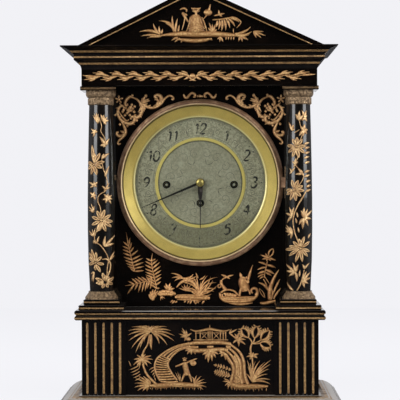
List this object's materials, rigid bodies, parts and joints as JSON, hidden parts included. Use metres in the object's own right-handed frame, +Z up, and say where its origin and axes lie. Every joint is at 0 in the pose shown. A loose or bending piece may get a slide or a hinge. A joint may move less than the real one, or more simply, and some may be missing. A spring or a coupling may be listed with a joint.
{
  "type": "pedimented mantel clock",
  "caption": "Temple-front mantel clock in black lacquer with gilt ornament: pediment, round columns, hinged bezel over a silvered dial, spring movement with pendulum.",
  "frame": {"origin": "middle of the plinth's underside", "axes": "+Z up, the dial faces -Y, +X to the right as seen from the front"},
  "size_m": [0.346, 0.184, 0.5212],
  "materials": {
    "black_lacquer": "black lacquer, aged",
    "plain_wood": "plain planed wood",
    "gilt_brass": "satin gilt",
    "bezel_bronze": "dull bronzed brass",
    "silvered_brass": "silvered, engraved",
    "dark_steel": "blued",
    "clear_glass": "polished",
    "clock_brass": "polished",
    "steel": "polished"
  },
  "bodies": {
    "case": {"plinth": "black_lacquer", "base_moulding": "black_lacquer", "base_front": "black_lacquer", "base_pilasters": "black_lacquer", "base_sides": "black_lacquer", "base_back": "black_lacquer", "base_cap": "black_lacquer", "column_blocks": "black_lacquer", "left_column_shaft": "black_lacquer", "right_column_shaft": "black_lacquer", "column_abaci": "black_lacquer", "trunk_front": "black_lacquer", "trunk_sides": "black_lacquer", "frieze": "black_lacquer", "cornice": "black_lacquer", "left_roof_board": "black_lacquer", "right_roof_board": "black_lacquer", "tympanum": "black_lacquer", "rear_gable": "black_lacquer", "seat_board": "plain_wood", "seat_cleats": "plain_wood", "column_feet": "gilt_brass", "column_capitals": "gilt_brass", "door_hinges": "clock_brass", "bezel_hinge": "gilt_brass", "bezel_catch": "gilt_brass", "dial_plate": "silvered_brass", "dial_ring": "gilt_brass", "winding_collets": "dark_steel", "sight_ring": "gilt_brass", "front_plate": "clock_brass", "back_plate": "clock_brass", "pendulum_cock": "clock_brass", "gongs": "steel", "gong_post": "clock_brass"},
    "rear_door": {"rear_door": "black_lacquer", "door_knob": "clock_brass"},
    "bezel": {"bezel_ring": "bezel_bronze", "bezel_glass": "clear_glass"},
    "minute_hand": {"minute_hand": "dark_steel", "hand_boss": "gilt_brass", "cannon_pinion": "clock_brass"},
    "hour_hand": {"hour_hand": "dark_steel", "hour_wheel": "clock_brass"},
    "minute_wheel": {"minute_wheel": "clock_brass"},
    "going_barrel": {"going_barrel": "clock_brass"},
    "strike_barrel": {"strike_barrel": "clock_brass"},
    "quarter_barrel": {"quarter_barrel": "clock_brass"},
    "going_winding_arbor": {"going_winding_arbor": "steel"},
    "strike_winding_arbor": {"strike_winding_arbor": "steel"},
    "quarter_winding_arbor": {"quarter_winding_arbor": "steel"},
    "centre_arbor": {"centre_arbor": "clock_brass"},
    "third_wheel": {"third_wheel": "clock_brass"},
    "escape_wheel": {"escape_wheel": "clock_brass"},
    "pendulum": {"anchor": "steel", "pendulum_rod": "steel", "pendulum_bob": "clock_brass", "rating_nut": "clock_brass"},
    "strike_hammer": {"strike_hammer": "steel"},
    "quarter_hammer": {"quarter_hammer": "steel"}
  },
  "joints": [
    {"name": "bezel_hinge", "type": "hinge", "parent": "case", "child": "bezel", "pos_m": [0.1064, -0.025, 0.2855], "axis": [0, 0, 1], "range_deg": [0, 60]},
    {"name": "rear_door_hinge", "type": "hinge", "parent": "case", "child": "rear_door", "pos_m": [0.1274, 0.0892, 0.267], "axis": [0, 0, -1], "range_deg": [0, 110]},
    {"name": "minute_hand_turn", "type": "hinge", "parent": "case", "child": "minute_hand", "pos_m": [0, -0.009, 0.2855], "axis": [0, 1, 0], "continuous": true},
    {"name": "hour_hand_turn", "type": "hinge", "parent": "case", "child": "hour_hand", "pos_m": [0, -0.007, 0.2855], "axis": [0, 1, 0], "continuous": true},
    {"name": "minute_wheel_turn", "type": "hinge", "parent": "case", "child": "minute_wheel", "pos_m": [0, 0.009, 0.3011], "axis": [0, 1, 0], "continuous": true},
    {"name": "third_wheel_turn", "type": "hinge", "parent": "case", "child": "third_wheel", "pos_m": [-0.014, 0.033, 0.3015], "axis": [0, 1, 0], "continuous": true},
    {"name": "centre_arbor_turn", "type": "hinge", "parent": "case", "child": "centre_arbor", "pos_m": [0, 0.033, 0.2855], "axis": [0, 1, 0], "continuous": true},
    {"name": "going_barrel_turn", "type": "hinge", "parent": "case", "child": "going_barrel", "pos_m": [0, 0.033, 0.26], "axis": [0, 1, 0], "continuous": true},
    {"name": "escape_wheel_turn", "type": "hinge", "parent": "case", "child": "escape_wheel", "pos_m": [0, 0.033, 0.3155], "axis": [0, 1, 0], "continuous": true},
    {"name": "strike_barrel_turn", "type": "hinge", "parent": "case", "child": "strike_barrel", "pos_m": [-0.042, 0.033, 0.283], "axis": [0, 1, 0], "continuous": true},
    {"name": "quarter_barrel_turn", "type": "hinge", "parent": "case", "child": "quarter_barrel", "pos_m": [0.042, 0.033, 0.283], "axis": [0, 1, 0], "continuous": true},
    {"name": "going_winding", "type": "hinge", "parent": "case", "child": "going_winding_arbor", "pos_m": [0, 0.033, 0.26], "axis": [0, 1, 0], "continuous": true},
    {"name": "strike_winding", "type": "hinge", "parent": "case", "child": "strike_winding_arbor", "pos_m": [-0.042, 0.033, 0.283], "axis": [0, 1, 0], "continuous": true},
    {"name": "quarter_winding", "type": "hinge", "parent": "case", "child": "quarter_winding_arbor", "pos_m": [0.042, 0.033, 0.283], "axis": [0, 1, 0], "continuous": true},
    {"name": "pendulum_swing", "type": "hinge", "parent": "case", "child": "pendulum", "pos_m": [0, 0.0595, 0.3345], "axis": [0, 1, 0], "range_deg": [-4, 4]},
    {"name": "strike_hammer_lift", "type": "hinge", "parent": "case", "child": "strike_hammer", "pos_m": [-0.034, 0.025, 0.2295], "axis": [0, 1, 0], "range_deg": [0, 12]},
    {"name": "quarter_hammer_lift", "type": "hinge", "parent": "case", "child": "quarter_hammer", "pos_m": [0.034, 0.037, 0.2295], "axis": [0, -1, 0], "range_deg": [0, 12]}
  ],
  "couplings": [
    {"joint": "hour_hand_turn", "follows": "minute_hand_turn", "ratio": 0.083333},
    {"joint": "minute_wheel_turn", "follows": "minute_hand_turn", "ratio": -0.33333},
    {"joint": "centre_arbor_turn", "follows": "third_wheel_turn", "ratio": -0.083333},
    {"joint": "going_barrel_turn", "follows": "third_wheel_turn", "ratio": 0.013889},
    {"joint": "escape_wheel_turn", "follows": "third_wheel_turn", "ratio": -10}
  ]
}
